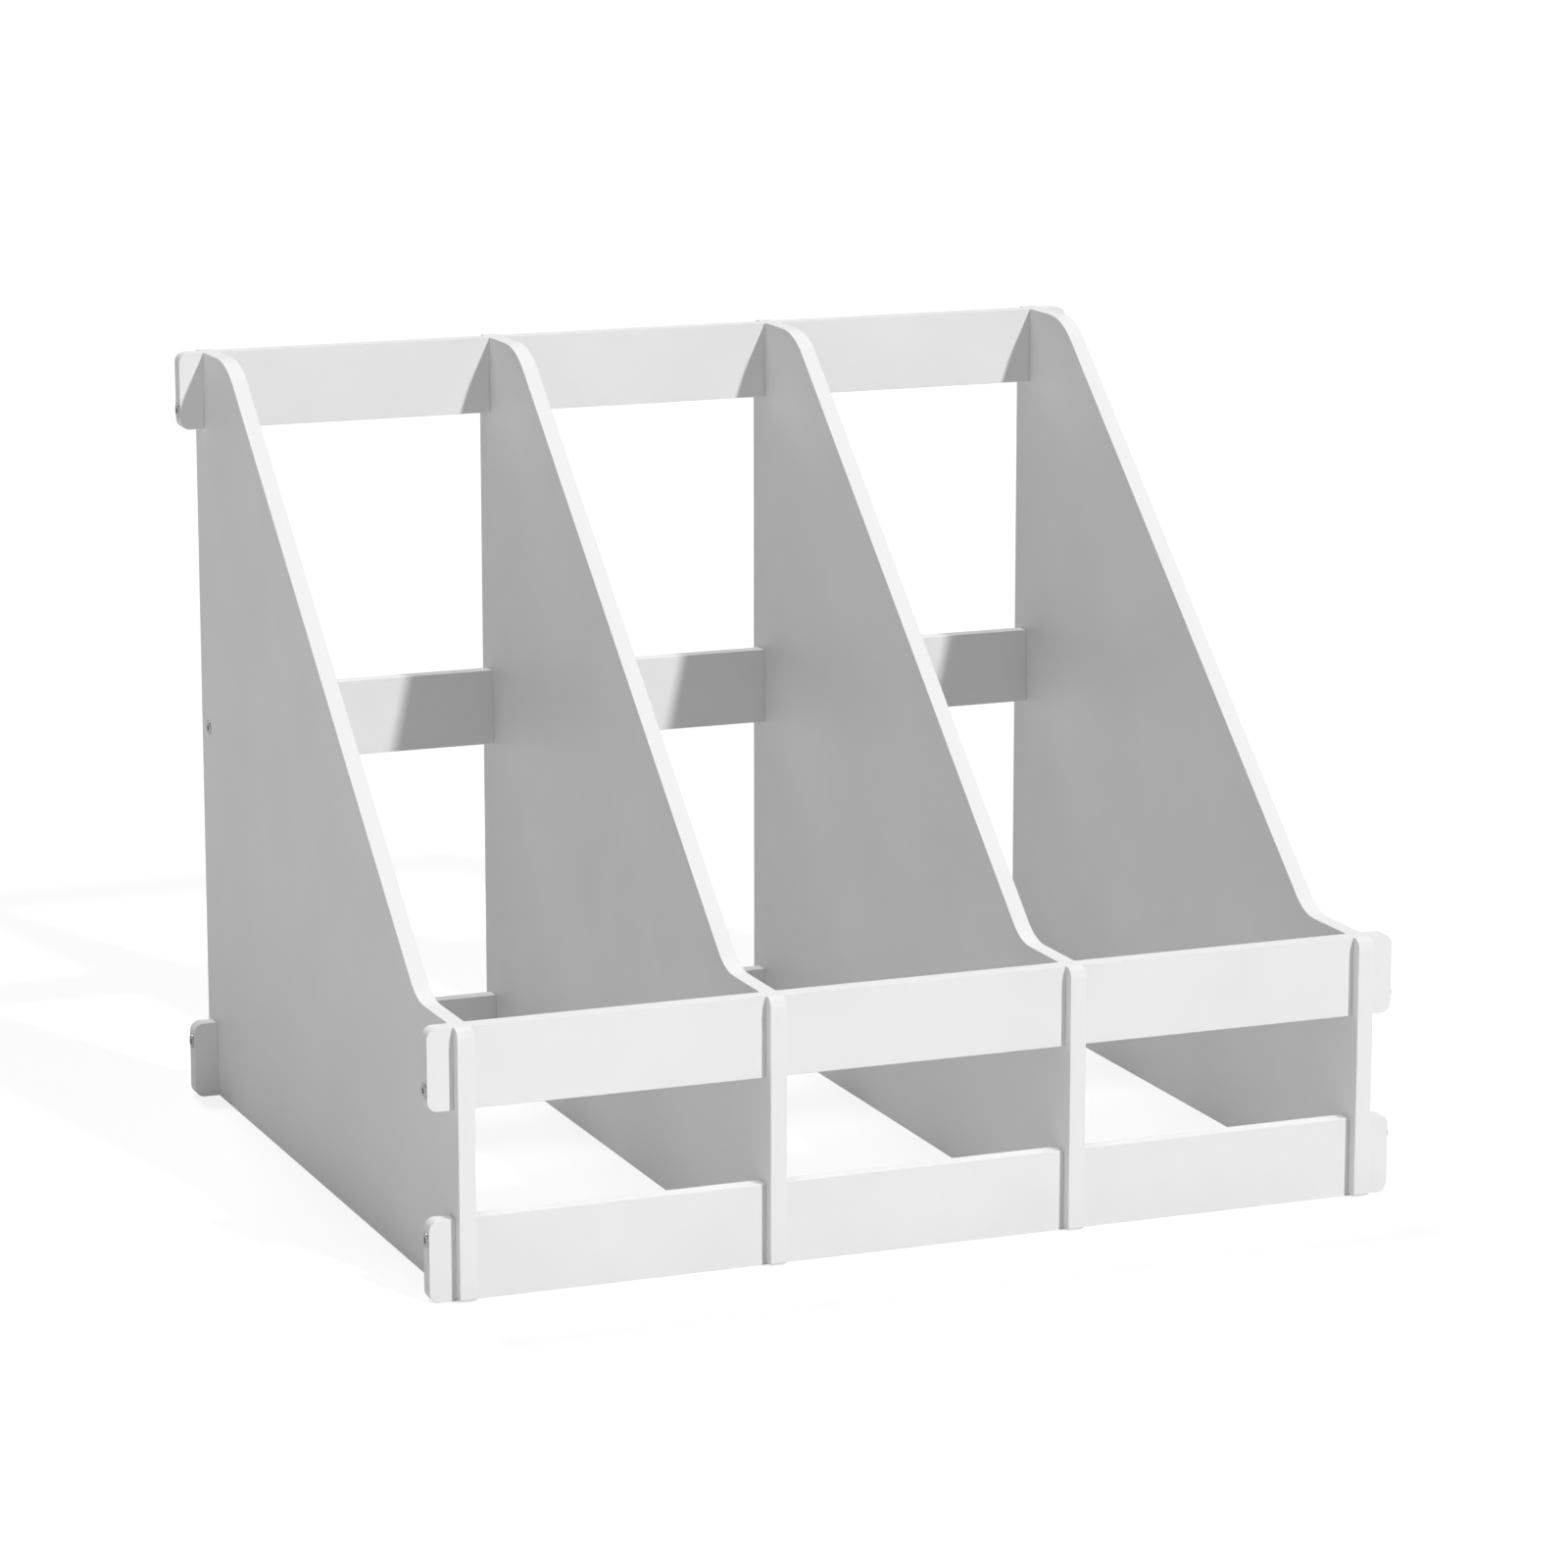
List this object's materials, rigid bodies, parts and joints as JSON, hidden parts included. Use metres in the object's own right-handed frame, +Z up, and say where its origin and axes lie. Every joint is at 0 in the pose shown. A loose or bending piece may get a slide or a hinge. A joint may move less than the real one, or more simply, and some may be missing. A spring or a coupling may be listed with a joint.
{
  "type": "magazine file holder",
  "caption": "Open desk file holder of slotted white boards: profiled uprights, high at the back and sloping to a low front, crossed by flat rails into open bays for files.",
  "frame": {"origin": "on the resting plane, under the middle of the holder's bounding box", "axes": "+X along the rails to the right, +Y to the high back (the low mouths of the bays face -Y), +Z up"},
  "size_m": [0.3874, 0.319, 0.3052],
  "materials": {
    "board": "matte",
    "screw": "satin"
  },
  "bodies": {
    "root": {"left_side_panel": "board", "left_divider": "board", "right_divider": "board", "right_side_panel": "board", "front_lower_rail": "board", "front_upper_rail": "board", "rear_lower_rail": "board", "rear_middle_rail": "board", "rear_upper_rail": "board", "left_front_lower_screw": "screw", "left_front_upper_screw": "screw", "left_rear_lower_screw": "screw", "left_rear_middle_screw": "screw", "left_rear_upper_screw": "screw", "right_front_lower_screw": "screw", "right_front_upper_screw": "screw", "right_rear_lower_screw": "screw", "right_rear_middle_screw": "screw", "right_rear_upper_screw": "screw"}
  },
  "joints": []
}
